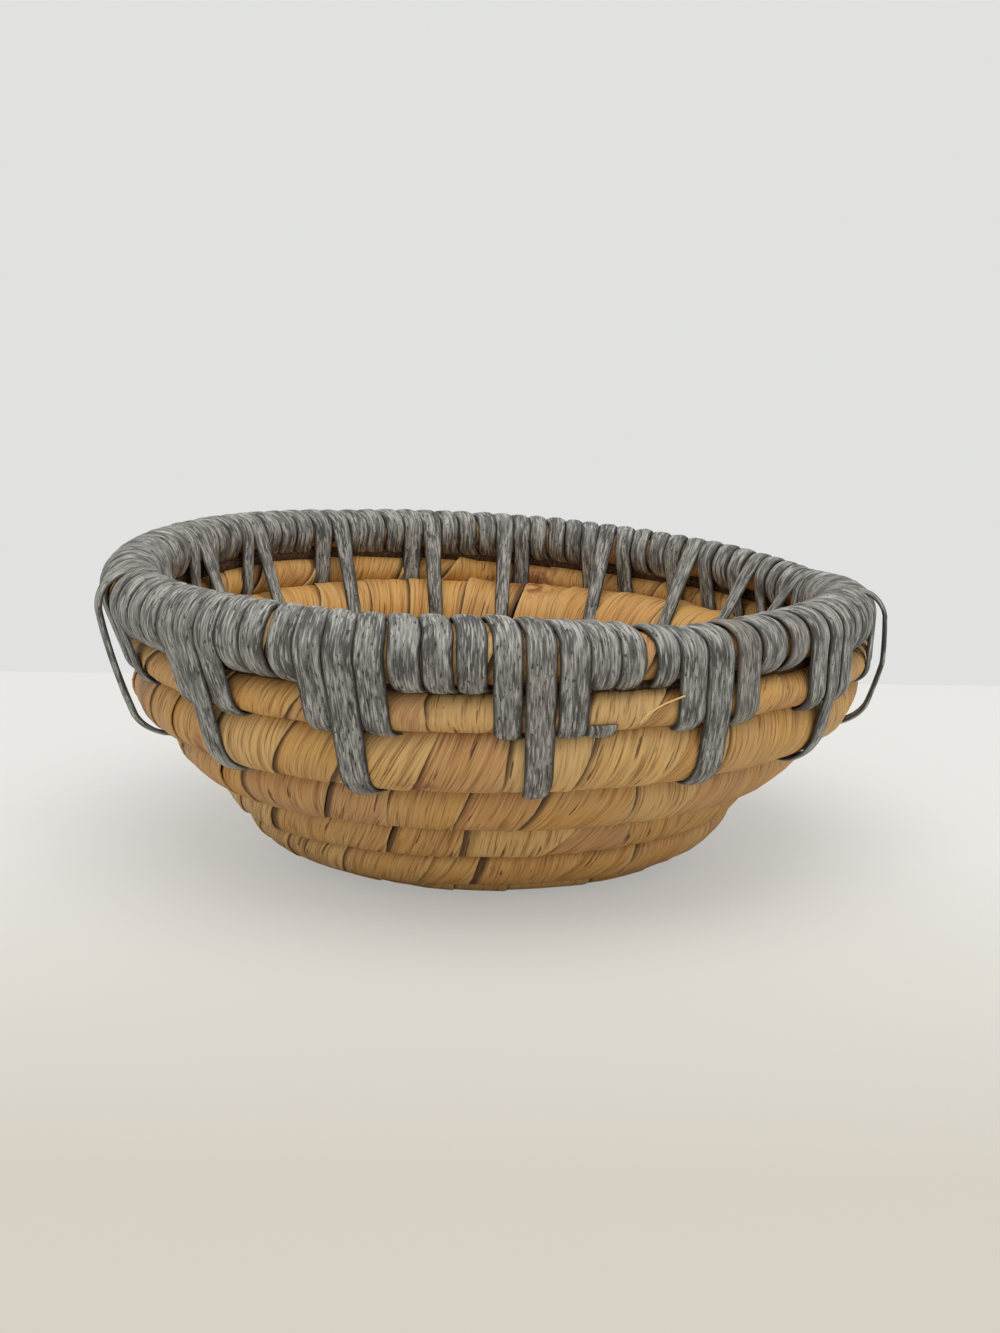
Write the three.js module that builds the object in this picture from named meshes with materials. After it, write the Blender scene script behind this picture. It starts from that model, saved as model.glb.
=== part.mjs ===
// Coiled basket: a round bowl made from one long coil of fibre wrapped in leaf, which winds out
// from the middle of the base and up the wall. A thicker hoop makes the rim. Bark strips wind
// round the hoop, and every few turns they reach down and lash it to the top rounds of the coil.
// Millimetres, +Z up, the underside at z = 0 and the basket's axis on Z.
// Angles round the basket are in degrees from +X, turning towards +Y, and the front faces -Y.

import * as THREE from 'three';

// Coil: its rounds lie one pitch apart where it is thickest
const coilPitch = 16.7;
const eyeRadius = 8.6;
const coilStart = 0.17;
const topRound = 8;
const flatShare = 0.2;
const leafThickness = 1.4;
const coreClearance = 0.3;
const leafJoint = 0.6;
const leafCount = 9;

// Coil end: it thins out and is tucked in under the rim
const seamAngle = 45;
const taperAngle = 80;
const endAngle = 7.1;
const endSlack = 1.4;
const coreEndAngle = 0;

// Wall: the outline that the coil's middle follows from the base up to the rim
const baseRadius = 58;
const lowerWallAngle = 43;
const upperWallAngle = 72;
const baseBend = 10;
const wallBendStart = 33;
const wallBend = 42;

// Rim hoop, and how far a hand-made rim runs out of level
const rimCoreRadius = 8.5;
const rimGap = 2.1;
const rimTilt = 3.2;
const rimWave = 2.3;

// Binding strips: rim turns after each lashing, counted from the front and round to the right
const stripThickness = 0.5;
const stripClearance = 0.45;
const stripWidthShare = 0.92;
const longAngles = [
  -83.3, -58, -34, -12.5, -0.5, 15, 30, 46, 65, 86, 100.5, 119.5, 138.5, 155.5, 178, 201, 226, 251,
];
const shortTurns = [3, 2, 3, 1, 2, 1, 1, 2, 3, 1, 2, 2, 2, 3, 3, 3, 3, 3];
const lashingTurns = ['medium', 'long', 'medium'];
const startsOnRim = [11, 12, 13];
const endsOnRim = [10];
const looseLashings = [4, 16];
const looseBow = 6;
const tailTurn = 3.2;
const stripJoint = 5;

// Facets
const coilFacets = 8;
const coreFacets = 6;
const rimSteps = 48;
const lashedSteps = 32;
const plainSteps = 13;
const stepsPerRound = 1.6;
const rimFacets = 4;
const outlineStep = 0.5;

const degree = Math.PI / 180;
const turnOf = (angle) => ((((angle - seamAngle) / 360) % 1) + 1) % 1;
const smooth = (value) => {
  const share = Math.min(Math.max(value, 0), 1);
  return share * share * (3 - 2 * share);
};

// The outline of the wall: distance along it gives radius and height
const stripRoom = stripThickness + 2 * stripClearance;
const topPlace = eyeRadius + coilPitch * (topRound - coilStart);
const rimPlace = topPlace + coilPitch / 2 + rimCoreRadius + rimGap;
const outline = [{ rho: baseRadius, z: 0 }];
while (baseRadius + (outline.length - 1) * outlineStep < rimPlace * 1.1) {
  const run = (outline.length - 0.5) * outlineStep;
  const angle = lowerWallAngle * smooth(run / baseBend)
    + (upperWallAngle - lowerWallAngle) * smooth((run - wallBendStart) / wallBend);
  const last = outline[outline.length - 1];
  outline.push({
    rho: last.rho + outlineStep * Math.cos(angle * degree),
    z: last.z + outlineStep * Math.sin(angle * degree),
  });
}

function onOutline(place) {
  if (place <= baseRadius) return { rho: place, z: 0 };
  const run = (place - baseRadius) / outlineStep;
  const index = Math.min(Math.floor(run), outline.length - 2);
  const share = run - index;
  const low = outline[index];
  const high = outline[index + 1];
  return { rho: low.rho + share * (high.rho - low.rho), z: low.z + share * (high.z - low.z) };
}

// How much longer the wall is at an angle than at the mean rim height
function stretchAt(angle) {
  const rise = -rimTilt * Math.cos(angle * degree) - rimWave * Math.sin(2 * angle * degree);
  return 1 + rise / (rimPlace - baseRadius);
}

function stretched(place, angle) {
  return place <= baseRadius ? place : baseRadius + (place - baseRadius) * stretchAt(angle);
}

// The coil at a number of turns: rounds share the wall evenly between the base and the rim,
// and climb to the next round mostly at the seam
const levels = topRound - coilStart;
const climbAt = (share) => smooth((share - 1) * 360 / taperAngle + 1);
const crowding = (share) => (levels + climbAt(share)) / (levels + share);
const endTurn = topRound + turnOf(endAngle);

function coilSection(turns) {
  const share = turns - Math.floor(turns);
  const angle = seamAngle + 360 * turns;
  const pitch = coilPitch * crowding(share);
  let place = eyeRadius + pitch * (turns - coilStart);
  const wallShare = smooth((place - baseRadius) / coilPitch);
  const fullRadius = (pitch - stripRoom) / 2;
  let radius = fullRadius;
  if (turns > topRound && climbAt(share) > 0) {
    const low = place - pitch + fullRadius + stripRoom;
    const high = topPlace + fullRadius + endSlack * climbAt(share);
    radius = (high - low) / 2;
    place = (high + low) / 2;
  }
  const point = onOutline(stretched(place, angle));
  const scale = 1 + (stretchAt(angle) - 1) * wallShare;
  return {
    turns,
    angle,
    rho: point.rho,
    z: point.z + fullRadius * (1 - flatShare),
    radius: (radius + stripRoom / 2) * scale - stripRoom / 2,
    fullRadius,
  };
}

// Stations where the coil bends from one straight facet to the next
const stations = [];
for (let round = 0; round <= topRound; round += 1) {
  const steps = round < topRound - 3 ? Math.round(plainSteps + stepsPerRound * round) : lashedSteps;
  for (let step = 0; step < steps; step += 1) {
    const turns = round + step / steps;
    if (turns > coilStart && turns < endTurn) stations.push(coilSection(turns));
  }
}
stations.unshift(coilSection(coilStart));
stations.push(coilSection(endTurn));

// Where a straight facet between two sections is cut by the half-plane at an angle
function between(a, b, angle) {
  const span = Math.sin((b.angle - a.angle) * degree);
  const far = a.rho * Math.sin((angle - a.angle) * degree);
  const near = b.rho * Math.sin((b.angle - angle) * degree);
  const rho = a.rho * b.rho * span / (far + near);
  const share = far / (far + near);
  const mix = (key) => a[key] + share * (b[key] - a[key]);
  return {
    turns: mix('turns'),
    angle,
    rho,
    z: mix('z'),
    radius: mix('radius'),
    fullRadius: mix('fullRadius'),
  };
}

function coilAt(turns) {
  const index = Math.max(stations.findIndex((station) => station.turns >= turns), 1);
  return between(stations[index - 1], stations[index], seamAngle + 360 * turns);
}

// The rim hoop's section at one of its stations, and anywhere between two of them
function rimStation(step) {
  const angle = 360 * step / rimSteps;
  const point = onOutline(stretched(rimPlace, angle));
  const lift = (coilPitch - stripRoom) / 2 * (1 - flatShare);
  return {
    turns: 0,
    angle,
    rho: point.rho,
    z: point.z + lift,
    radius: rimCoreRadius,
    fullRadius: rimCoreRadius,
  };
}

function rimAt(angle) {
  const step = Math.floor(angle * rimSteps / 360);
  return between(rimStation(step), rimStation(step + 1), angle);
}

// A point in the half-plane at an angle, and a ring of points round a section
function at(angle, rho, z) {
  return [rho * Math.cos(angle * degree), rho * Math.sin(angle * degree), z];
}

function ring(section, radius, sides, firstAngle) {
  const points = [];
  for (let side = 0; side < sides; side += 1) {
    const turn = (firstAngle + 360 * side / sides) * degree;
    const z = section.z + radius * Math.sin(turn);
    points.push(at(section.angle, section.rho + radius * Math.cos(turn), Math.max(z, 0)));
  }
  return points;
}

// Closed bodies from rings of points
function side(faces, first, second, count) {
  for (let index = 0; index < count; index += 1) {
    const next = (index + 1) % count;
    faces.push([first + index, second + index, second + next]);
    faces.push([first + index, second + next, first + next]);
  }
}

function geometryOf(points, faces) {
  const edge = (a, b) => new THREE.Vector3().subVectors(b, a);
  const corners = points.map((point) => new THREE.Vector3(...point));
  let volume = 0;
  for (const [a, b, c] of faces) {
    volume += corners[a].dot(edge(corners[a], corners[b]).cross(edge(corners[a], corners[c])));
  }
  const outward = volume > 0 ? faces : faces.map(([a, b, c]) => [a, c, b]);
  const geometry = new THREE.BufferGeometry();
  geometry.setAttribute('position', new THREE.Float32BufferAttribute(points.flat(), 3));
  geometry.setIndex(outward.flat());
  geometry.computeVertexNormals();
  return geometry;
}

function tube(rings, closed = false) {
  const count = rings[0].length;
  const faces = [];
  const spans = closed ? rings.length : rings.length - 1;
  for (let index = 0; index < spans; index += 1) {
    side(faces, index * count, ((index + 1) % rings.length) * count, count);
  }
  if (!closed) {
    const last = (rings.length - 1) * count;
    for (let corner = 2; corner < count; corner += 1) {
      faces.push([0, corner - 1, corner]);
      faces.push([last, last + corner, last + corner - 1]);
    }
  }
  return geometryOf(rings.flat(), faces);
}

// The flat end of a sleeve, between its outer ring and its bore
function sleeveEnd(faces, outer, inner, turned) {
  let a = 0;
  let b = 0;
  while (a < coilFacets || b < coreFacets) {
    const outerNext = (a + 1.5) / coilFacets;
    const innerNext = (b + 1) / coreFacets;
    const from = outer + (a % coilFacets);
    const hole = inner + (b % coreFacets);
    let next;
    if (b >= coreFacets || (a < coilFacets && outerNext <= innerNext)) {
      a += 1;
      next = outer + (a % coilFacets);
    } else {
      b += 1;
      next = inner + (b % coreFacets);
    }
    faces.push(turned ? [from, hole, next] : [from, next, hole]);
  }
}

function sleeve(outerRings, innerRings) {
  const faces = [];
  const innerStart = outerRings.length * coilFacets;
  for (let index = 0; index < outerRings.length - 1; index += 1) {
    side(faces, index * coilFacets, (index + 1) * coilFacets, coilFacets);
    side(faces, innerStart + (index + 1) * coreFacets, innerStart + index * coreFacets, coreFacets);
  }
  const last = outerRings.length - 1;
  sleeveEnd(faces, 0, innerStart, false);
  sleeveEnd(faces, last * coilFacets, innerStart + last * coreFacets, true);
  return geometryOf([...outerRings.flat(), ...innerRings.flat()], faces);
}

const basket = new THREE.Group();

function addPart(name, geometry, material) {
  const mesh = new THREE.Mesh(geometry, material);
  mesh.name = name;
  basket.add(mesh);
}

// Coil core: one unbroken bundle of fibre from the middle of the base to the tucked end
const fibre = () => new THREE.MeshStandardMaterial({ color: '#8d7145', roughness: 0.95, metalness: 0 });
const leaf = () => new THREE.MeshStandardMaterial({ color: '#c09a62', roughness: 0.7, metalness: 0 });
const bark = () => new THREE.MeshStandardMaterial({ color: '#777a79', roughness: 0.65, metalness: 0 });

const boreRadius = (section) => section.radius * (section.fullRadius - leafThickness) / section.fullRadius;
const bundleRadius = (section) => boreRadius(section) - coreClearance / Math.cos(Math.PI / coreFacets);
const outerRing = (section) => ring(section, section.radius, coilFacets, 180 / coilFacets);
const boreRing = (section) => ring(section, boreRadius(section), coreFacets, 0);

// Rings along the coil from one number of turns to another; a length that begins or stops between
// two stations is cut on the straight facet between them
function ringsAlong(from, to, ringOf) {
  const cut = (turns) => {
    const index = Math.max(stations.findIndex((station) => station.turns >= turns), 1);
    const [a, b] = [stations[index - 1], stations[index]];
    const share = (turns - a.turns) / (b.turns - a.turns);
    const far = ringOf(b);
    const moved = (point, toward) => point.map((value, axis) => value + share * (toward[axis] - value));
    return ringOf(a).map((point, corner) => moved(point, far[corner]));
  };
  const inside = stations.filter((station) => station.turns > from + 0.001 && station.turns < to - 0.001);
  return [cut(from), ...inside.map(ringOf), cut(to)];
}

const turnsForLength = (length, turns) => length / (2 * Math.PI * coilAt(turns).rho);
const coreStart = coilStart + turnsForLength(leafJoint, coilStart + 0.01);
const coreEnd = topRound + turnOf(coreEndAngle);
const bundleRing = (section) => ring(section, bundleRadius(section), coreFacets, 0);
addPart('coil_core', tube(ringsAlong(coreStart, coreEnd, bundleRing)), fibre());

// Leaf wraps: lengths of leaf round the core, each starting where the last one ends
const leafTurns = (endTurn - coilStart) / leafCount;
for (let length = 0; length < leafCount; length += 1) {
  const start = coilStart + length * leafTurns;
  const end = start + leafTurns;
  const from = length === 0 ? start : start + turnsForLength(leafJoint / 2, start);
  const to = length === leafCount - 1 ? end : end - turnsForLength(leafJoint / 2, end);
  const wrap = sleeve(ringsAlong(from, to, outerRing), ringsAlong(from, to, boreRing));
  addPart(`leaf_wrap_${length + 1}`, wrap, leaf());
}

// Rim hoop
const rimRings = [];
for (let step = 0; step < rimSteps; step += 1) {
  rimRings.push(ring(rimStation(step), rimCoreRadius, coilFacets, 180 / coilFacets));
}
addPart('rim_core', tube(rimRings, true), fibre());

// What a strip goes round at an angle: the hoop and the rounds of coil below it, from the top
function stackAt(angle) {
  const share = turnOf(angle);
  const first = topRound + share <= endTurn ? topRound + share : topRound + share - 1;
  return [rimAt(((angle % 360) + 360) % 360), ...[0, 1, 2].map((below) => coilAt(first - below))];
}

const heading = (from, to) => Math.atan2(to.z - from.z, to.rho - from.rho) / degree;
const unwrapped = (angle, near) => angle + 360 * Math.round((near - angle) / 360);

// The ways that a strip's flats face as it goes from inside the bowl over the rim and under again
function facings(kind, stack) {
  if (kind === 'short') {
    const down = unwrapped(heading(stack[0], stack[1]), -90);
    const count = rimFacets * 2;
    return Array.from({ length: count }, (_, index) => down + 270 - 360 * index / count);
  }
  const held = kind === 'long' ? 2 : 1;
  const low = stack[held];
  const gap = Math.hypot(low.rho - stack[0].rho, low.z - stack[0].z);
  const lean = Math.asin((stack[0].radius - low.radius) / gap) / degree;
  const down = unwrapped(heading(stack[0], low), -90);
  const under = unwrapped(heading(low, stack[held + 1]), -90);
  const inside = down + 270 + lean;
  const outside = down + 90 - lean;
  const list = [inside];
  for (let index = 1; index <= rimFacets; index += 1) {
    list.push(inside + (outside - inside) * index / (rimFacets + 1));
  }
  return [...list, outside, (outside + under) / 2, under, (under + inside - 360) / 2];
}

// The corner of a strip between two of its flats, at its inner or outer face
function corner(kind, angle, index, thickness, bow) {
  const stack = stackAt(angle);
  const list = facings(kind, stack);
  const held = stack.slice(0, { short: 1, medium: 2, long: 3 }[kind]);
  const outside = rimFacets + 1;
  const flat = (position) => {
    const facing = list[position % list.length] * degree;
    const reach = Math.max(...held.map((round) =>
      round.rho * Math.cos(facing) + round.z * Math.sin(facing) + round.radius));
    const loose = position === outside ? bow : 0;
    return { facing, reach: reach + stripClearance + thickness + loose };
  };
  const one = flat(index);
  const two = flat(index + 1);
  const cross = Math.sin(two.facing - one.facing);
  const rho = (one.reach * Math.sin(two.facing) - two.reach * Math.sin(one.facing)) / cross;
  const z = (two.reach * Math.cos(one.facing) - one.reach * Math.cos(two.facing)) / cross;
  return { rho, z };
}

// Turns of strip are numbered round the rim. They spread evenly from one long turn to the next,
// and the spacing changes smoothly where a wide stretch meets a narrow one
const lashingStarts = shortTurns.map((_, index) => shortTurns.slice(0, index)
  .reduce((sum, turns) => sum + turns + lashingTurns.length, 0));
const turnCount = lashingStarts.at(-1) + shortTurns.at(-1) + lashingTurns.length;
const lashingAt = (index) => {
  const count = longAngles.length;
  const rounds = Math.floor(index / count);
  const place = index - rounds * count;
  return {
    turn: lashingStarts[place] + lashingTurns.length / 2 + rounds * turnCount,
    angle: longAngles[place] + rounds * 360,
  };
};

function turnAngle(turn) {
  let index = -1;
  while (lashingAt(index + 1).turn <= turn) index += 1;
  const [before, from, to, after] = [-1, 0, 1, 2].map((step) => lashingAt(index + step));
  const share = (turn - from.turn) / (to.turn - from.turn);
  const steep = (one, two) => (two.angle - one.angle) / (two.turn - one.turn) * (to.turn - from.turn);
  const [start, end] = [steep(before, to), steep(from, after)];
  const rise = to.angle - from.angle;
  return from.angle + share * (start
    + share * (3 * rise - 2 * start - end + share * (start + end - 2 * rise)));
}

// A strip moves on by half a turn's width where it crosses the rim and half where it comes back
const overRim = { from: 150, to: 30 };
const underRim = { from: -60, to: -150 };
const shiftOver = (facing, { from, to }) => Math.min(Math.max((from - facing) / (from - to), 0), 1) / 2;

// One length of strip: for each turn in its list it passes the corners of that kind of turn
function strip(kinds, firstTurn, bow = 0, fromCorner = 0, toCorner = Infinity) {
  const rings = [];
  const place = (kind, turn, index) => {
    const list = facings(kind, stackAt(turnAngle(turn + 0.5)));
    const facing = (list[index] + (list[index + 1] ?? list[0] - 360)) / 2;
    const progress = turn + shiftOver(facing, overRim) + shiftOver(facing, underRim);
    const ends = [-1, 1].map((way) => turnAngle(progress + way * stripWidthShare / 2));
    const loose = kind === 'long' ? bow : 0;
    const make = (angle, thickness) => {
      const here = corner(kind, angle, index, thickness, loose);
      return { angle, ...here };
    };
    return [
      make(ends[0], 0),
      make(ends[1], 0),
      make(ends[1], stripThickness),
      make(ends[0], stripThickness),
    ];
  };
  kinds.forEach((kind, order) => {
    const corners = kind === 'short' ? rimFacets * 2 : rimFacets + 5;
    for (let index = 0; index < corners; index += 1) {
      if (order > 0 || (index >= fromCorner && index <= toCorner)) {
        rings.push(place(kind, firstTurn + order, index));
      }
    }
  });
  if (toCorner === Infinity) {
    const last = rings[rings.length - 1];
    const onward = place(kinds[kinds.length - 1], firstTurn + kinds.length, 0);
    const length = Math.hypot(onward[0].rho - last[0].rho, onward[0].z - last[0].z);
    const share = 1 - stripJoint / length;
    rings.push(last.map((point, index) => ({
      angle: point.angle + share * (onward[index].angle - point.angle),
      rho: point.rho + share * (onward[index].rho - point.rho),
      z: point.z + share * (onward[index].z - point.z),
    })));
  }
  return tube(rings.map((points) => points.map((point) => at(point.angle, point.rho, point.z))));
}

// Lashings, and the turns round the rim alone that follow each of them. At the back, a lashing
// has a medium turn on one side of its long turn only, and a rim turn on the other
let turn = 0;
shortTurns.forEach((turns, index) => {
  const number = String(index + 1).padStart(2, '0');
  const bow = looseLashings.includes(index + 1) ? looseBow : 0;
  const kinds = [...lashingTurns];
  if (startsOnRim.includes(index + 1)) kinds[0] = 'short';
  if (endsOnRim.includes(index + 1)) kinds[kinds.length - 1] = 'short';
  addPart(`lashing_${number}`, strip(kinds, turn, bow), bark());
  turn += lashingTurns.length;
  addPart(`rim_winding_${number}`, strip(Array(turns).fill('short'), turn), bark());
  turn += turns;
});

// The cut end of a strip that shows under the top round at the front
addPart('strip_tail', strip(['medium'], tailTurn, 0, rimFacets + 1, rimFacets + 3), bark());

// Least gap from one round of the coil to another, measured between the points of its surface
const surface = stations.map((station) => ({ turns: station.turns, points: outerRing(station) }));
let leastGap = Infinity;
for (const one of surface) {
  for (const two of surface) {
    if (two.turns - one.turns > 0.5 && two.turns - one.turns < 1.5) {
      for (const [x, y, z] of one.points) {
        for (const [a, b, c] of two.points) {
          leastGap = Math.min(leastGap, Math.hypot(x - a, y - b, z - c));
        }
      }
    }
  }
}
console.log(`least gap from the coil to itself: ${leastGap.toFixed(2)} mm`);

// The origin is under the middle of the basket's own outline, which the loose turns and the
// uneven rim put a little off the coil's axis
const outlineBox = new THREE.Box3().setFromObject(basket);
const middle = outlineBox.getCenter(new THREE.Vector3());
basket.position.set(-middle.x, -middle.y, 0);
const model = new THREE.Group();
model.add(basket);
console.log(`coil axis at x ${(-middle.x).toFixed(3)}, y ${(-middle.y).toFixed(3)} mm`);

export default model;
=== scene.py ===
import math

import bpy
from mathutils import Matrix, Vector, noise


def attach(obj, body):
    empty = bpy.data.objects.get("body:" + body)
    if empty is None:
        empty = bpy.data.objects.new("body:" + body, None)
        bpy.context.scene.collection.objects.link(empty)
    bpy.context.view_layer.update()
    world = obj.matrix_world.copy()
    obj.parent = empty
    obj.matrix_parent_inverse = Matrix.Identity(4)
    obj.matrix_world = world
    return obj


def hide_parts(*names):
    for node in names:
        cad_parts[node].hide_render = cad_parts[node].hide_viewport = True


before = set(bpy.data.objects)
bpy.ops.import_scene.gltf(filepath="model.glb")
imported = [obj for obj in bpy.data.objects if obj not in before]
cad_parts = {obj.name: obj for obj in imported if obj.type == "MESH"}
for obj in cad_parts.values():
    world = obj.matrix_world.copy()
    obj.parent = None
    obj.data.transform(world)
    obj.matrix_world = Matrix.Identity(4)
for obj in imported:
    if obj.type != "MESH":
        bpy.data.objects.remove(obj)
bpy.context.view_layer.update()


# Camera
# The photograph looks slightly down on the basket from the front with a normal lens, and leans
# by less than a degree. The focal length and the frame are in pixels of the photograph.

FOCAL_PIXELS = 2000
FRAME_HEIGHT = 1333
SENSOR = 36.0
CAMERA_PLACE = (0.0040, -0.640, 0.186)
CAMERA_DOWN = math.radians(11.3)
CAMERA_LEAN = math.radians(0.85)

camera = bpy.data.objects.new("camera", bpy.data.cameras.new("camera"))
bpy.context.scene.collection.objects.link(camera)
camera.data.sensor_width = SENSOR
camera.data.sensor_height = SENSOR
camera.data.lens = FOCAL_PIXELS / FRAME_HEIGHT * SENSOR
aim = Matrix.Rotation(math.pi / 2 - CAMERA_DOWN, 3, "X") @ Matrix.Rotation(CAMERA_LEAN, 3, "Z")
camera.rotation_euler = aim.to_euler()
camera.location = CAMERA_PLACE
bpy.context.scene.camera = camera
bpy.context.scene.view_settings.view_transform = "Standard"


# Floor, wall and light
# A pale matt table top meets a pale wall behind the basket, and darkens a little towards the
# front: painted shade for the light that falls off there. The wall is the room's own backdrop. A
# large soft lamp hangs above, and the room fills the shadows.

FLOOR_REACH = 6.0
TABLE_EDGE = 0.262
TABLE_NEAR_COLOUR = "#ccc7bd"
TABLE_FAR_COLOUR = "#e2e2df"
TABLE_NEAR = -0.25
TABLE_FAR = -0.02
TABLE_ROUGHNESS = 0.9
TABLE_SHINE = 0.1
SHADOW_FILL = 0.5
BACKDROP_COLOUR = "#e1e2e0"
ROOM_COLOUR = "#f6f6f6"
ROOM_STRENGTH = 0.88
LAMP_COLOUR = "#fffaf2"
LAMP_PLACE = (0.06, -0.42, 1.35)
LAMP_SIZE = 1.2
LAMP_WATTS = 11
# Kinds of node that the trees below often use.
MATH = "ShaderNodeMath"
RANGE = "ShaderNodeMapRange"
MIX = "ShaderNodeMix"
NOISE = "ShaderNodeTexNoise"


def linear(code):
    """An sRGB hex colour as linear red, green, blue and a full alpha."""
    channels = [int(code[place:place + 2], 16) / 255 for place in (1, 3, 5)]
    return [c / 12.92 if c <= 0.04045 else ((c + 0.055) / 1.055) ** 2.4 for c in channels] + [1.0]


def add(tree, kind, inputs=None, **settings):
    """A new node with its settings, its values, and links from the nodes or sockets given."""
    node = tree.nodes.new(kind)
    for name, value in settings.items():
        setattr(node, name, value)
    for socket, value in (inputs or {}).items():
        if isinstance(value, bpy.types.Node):
            value = value.outputs[0]
        if isinstance(value, bpy.types.NodeSocket):
            tree.links.new(value, node.inputs[socket])
        else:
            node.inputs[socket].default_value = value
    return node


def plain_mesh(name, points, faces=(), edges=()):
    mesh = bpy.data.meshes.new(name)
    mesh.from_pydata(points, edges, faces)
    piece = bpy.data.objects.new(name, mesh)
    bpy.context.scene.collection.objects.link(piece)
    return piece


def new_material(name, roughness, shine=0.5):
    material = bpy.data.materials.new(name)
    material.use_nodes = True
    shader = material.node_tree.nodes["Principled BSDF"]
    shader.inputs["Roughness"].default_value = roughness
    shader.inputs["Specular IOR Level"].default_value = shine
    return material, material.node_tree, shader


table = plain_mesh("table", [(-FLOOR_REACH, -FLOOR_REACH, 0), (FLOOR_REACH, -FLOOR_REACH, 0),
                             (FLOOR_REACH, TABLE_EDGE, 0), (-FLOOR_REACH, TABLE_EDGE, 0)], [(0, 1, 2, 3)])

# Matt paint gives the eye a tone with next to no shine, and painted shade darkens it towards the
# front. Part of that tone is lit from within for the camera alone, which keeps the basket's shadow
# as pale as it is in a bright room.
paint, tree, shader = new_material("matt paint on the table", TABLE_ROUGHNESS, TABLE_SHINE)
place = add(tree, "ShaderNodeTexCoord")
parts = add(tree, "ShaderNodeSeparateXYZ", {0: place.outputs["Object"]})
# Painted shade: the colour darkens from the far part of the table to the front.
share = add(tree, RANGE, {"Value": parts.outputs[1], "From Min": TABLE_NEAR, "From Max": TABLE_FAR})
blend = add(tree, MIX, {0: share, 6: linear(TABLE_NEAR_COLOUR), 7: linear(TABLE_FAR_COLOUR)},
            data_type="RGBA")
tree.links.new(blend.outputs[2], shader.inputs["Base Color"])
glow = add(tree, "ShaderNodeEmission", {"Color": blend.outputs[2], "Strength": 1.0})
ray = add(tree, "ShaderNodeLightPath")
share = add(tree, MATH, {0: ray.outputs["Is Camera Ray"], 1: SHADOW_FILL}, operation="MULTIPLY")
either = add(tree, "ShaderNodeMixShader", {0: share, 1: shader, 2: glow})
tree.links.new(either.outputs[0], tree.nodes["Material Output"].inputs["Surface"])
table.data.materials.append(paint)

room = bpy.data.worlds.new("room")
room.use_nodes = True
bpy.context.scene.world = room
tree = room.node_tree
room_light = tree.nodes["Background"]
room_light.inputs["Color"].default_value = linear(ROOM_COLOUR)
room_light.inputs["Strength"].default_value = ROOM_STRENGTH
backdrop = add(tree, "ShaderNodeBackground", {"Color": linear(BACKDROP_COLOUR), "Strength": 1.0})
ray = add(tree, "ShaderNodeLightPath")
seen = add(tree, MATH, {0: ray.outputs["Is Camera Ray"], 1: ray.outputs["Is Glossy Ray"]}, operation="ADD")
seen = add(tree, MATH, {0: seen, 1: ray.outputs["Is Transmission Ray"]}, operation="ADD", use_clamp=True)
either = add(tree, "ShaderNodeMixShader", {0: seen, 1: room_light, 2: backdrop})
tree.links.new(either.outputs[0], tree.nodes["World Output"].inputs["Surface"])

lamp = bpy.data.objects.new("soft lamp", bpy.data.lights.new("soft lamp", "AREA"))
bpy.context.scene.collection.objects.link(lamp)
lamp.data.size = LAMP_SIZE
lamp.data.energy = LAMP_WATTS
lamp.data.color = linear(LAMP_COLOUR)[:3]
lamp.location = LAMP_PLACE
lamp.rotation_euler = (-Vector(LAMP_PLACE)).to_track_quat("-Z", "Y").to_euler()


# Coil bundle
# One long bundle of dry fibre winds out from the middle of the base and up the wall. It shows
# only as brown strands where the leaf over it gapes. Lengths are in metres, and angles in degrees,
# from 0 at the right to 90 at the back.

COIL_AXIS = (0.000698, 0.000044)
COIL_PITCH = 0.0167
EYE_RADIUS = 0.0086
COIL_START = 0.17
TOP_ROUND = 8
FLAT_SHARE = 0.2
STRIP_ROOM = 0.0014
SEAM_ANGLE = 45
TAPER_ANGLE = 80
END_ANGLE = 7.1
END_SLACK = 0.0014
BASE_RADIUS = 0.0555
# Distance up the wall from the edge of the base, and the wall's slope once it is reached.
WALL_SLOPES = ((0.0, 0), (0.010, 34), (0.028, 60), (0.048, 42), (0.066, 60), (0.100, 76.5))
# Distance from the middle of the base along the wall, and how much further a seam lies there.
ROUND_SHIFTS = ((0.0555, 0.0), (0.075, -0.0050), (0.108, -0.0042), (0.114, -0.0007), (0.122, 0.0013),
                (0.133, 0.0036), (0.148, -0.0016))
BACK_LIFT = 0.0034
BACK_FROM = 0.105
BACK_SPAN = 0.025
RIGHT_LIFT = 0.0038
RIGHT_ANGLE = -15
RIGHT_PLACE = 0.119
RIGHT_REACH = 0.016
# Height, and how far the wall stands out there, or in, all round.
SWELLS = ((0.010, 0.0), (0.020, -0.0024), (0.030, -0.0033), (0.039, -0.0030), (0.047, -0.0015),
          (0.053, 0.0030), (0.061, 0.0058), (0.076, 0.0))
# Height, and how far the wall stands out at the right and in at the left, or the other way.
SIDE_SWAYS = ((0.0, 0.0), (0.010, -0.0008), (0.020, -0.0010), (0.030, -0.0017), (0.039, -0.0022),
              (0.047, -0.0007), (0.053, 0.0021), (0.061, 0.0040), (0.076, 0.0))
RIM_RADIUS = 0.0085
RIM_GAP = 0.0021
RIM_TILT = 0.0032
RIM_WAVE = 0.0023
OUTLINE_STEP = 0.0005
OUTLINE_SPARE = 1.1
PATH_STEP = 0.002
TIGHTEST_RADIUS = 0.006
CURL_TURNS = 0.52
CURL_PITCH = 0.0125
CURL_TIP = 0.5
CURL_POWER = 1.3
LUMP_LENGTH = 0.030
LUMP_SHARE = 0.035
LUMP_SEED = (0.3, 1.7)
SWAY = 0.00025
SWAY_SEED = (5.1, 2.2)
CONTACT = 0.0002
SQUARENESS = 0.05
ROUND_FROM = 7.2
BUNDLE_SHARE = 0.70
BUNDLE_SIDES = 12
HIDDEN_POINTS = 2
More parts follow.
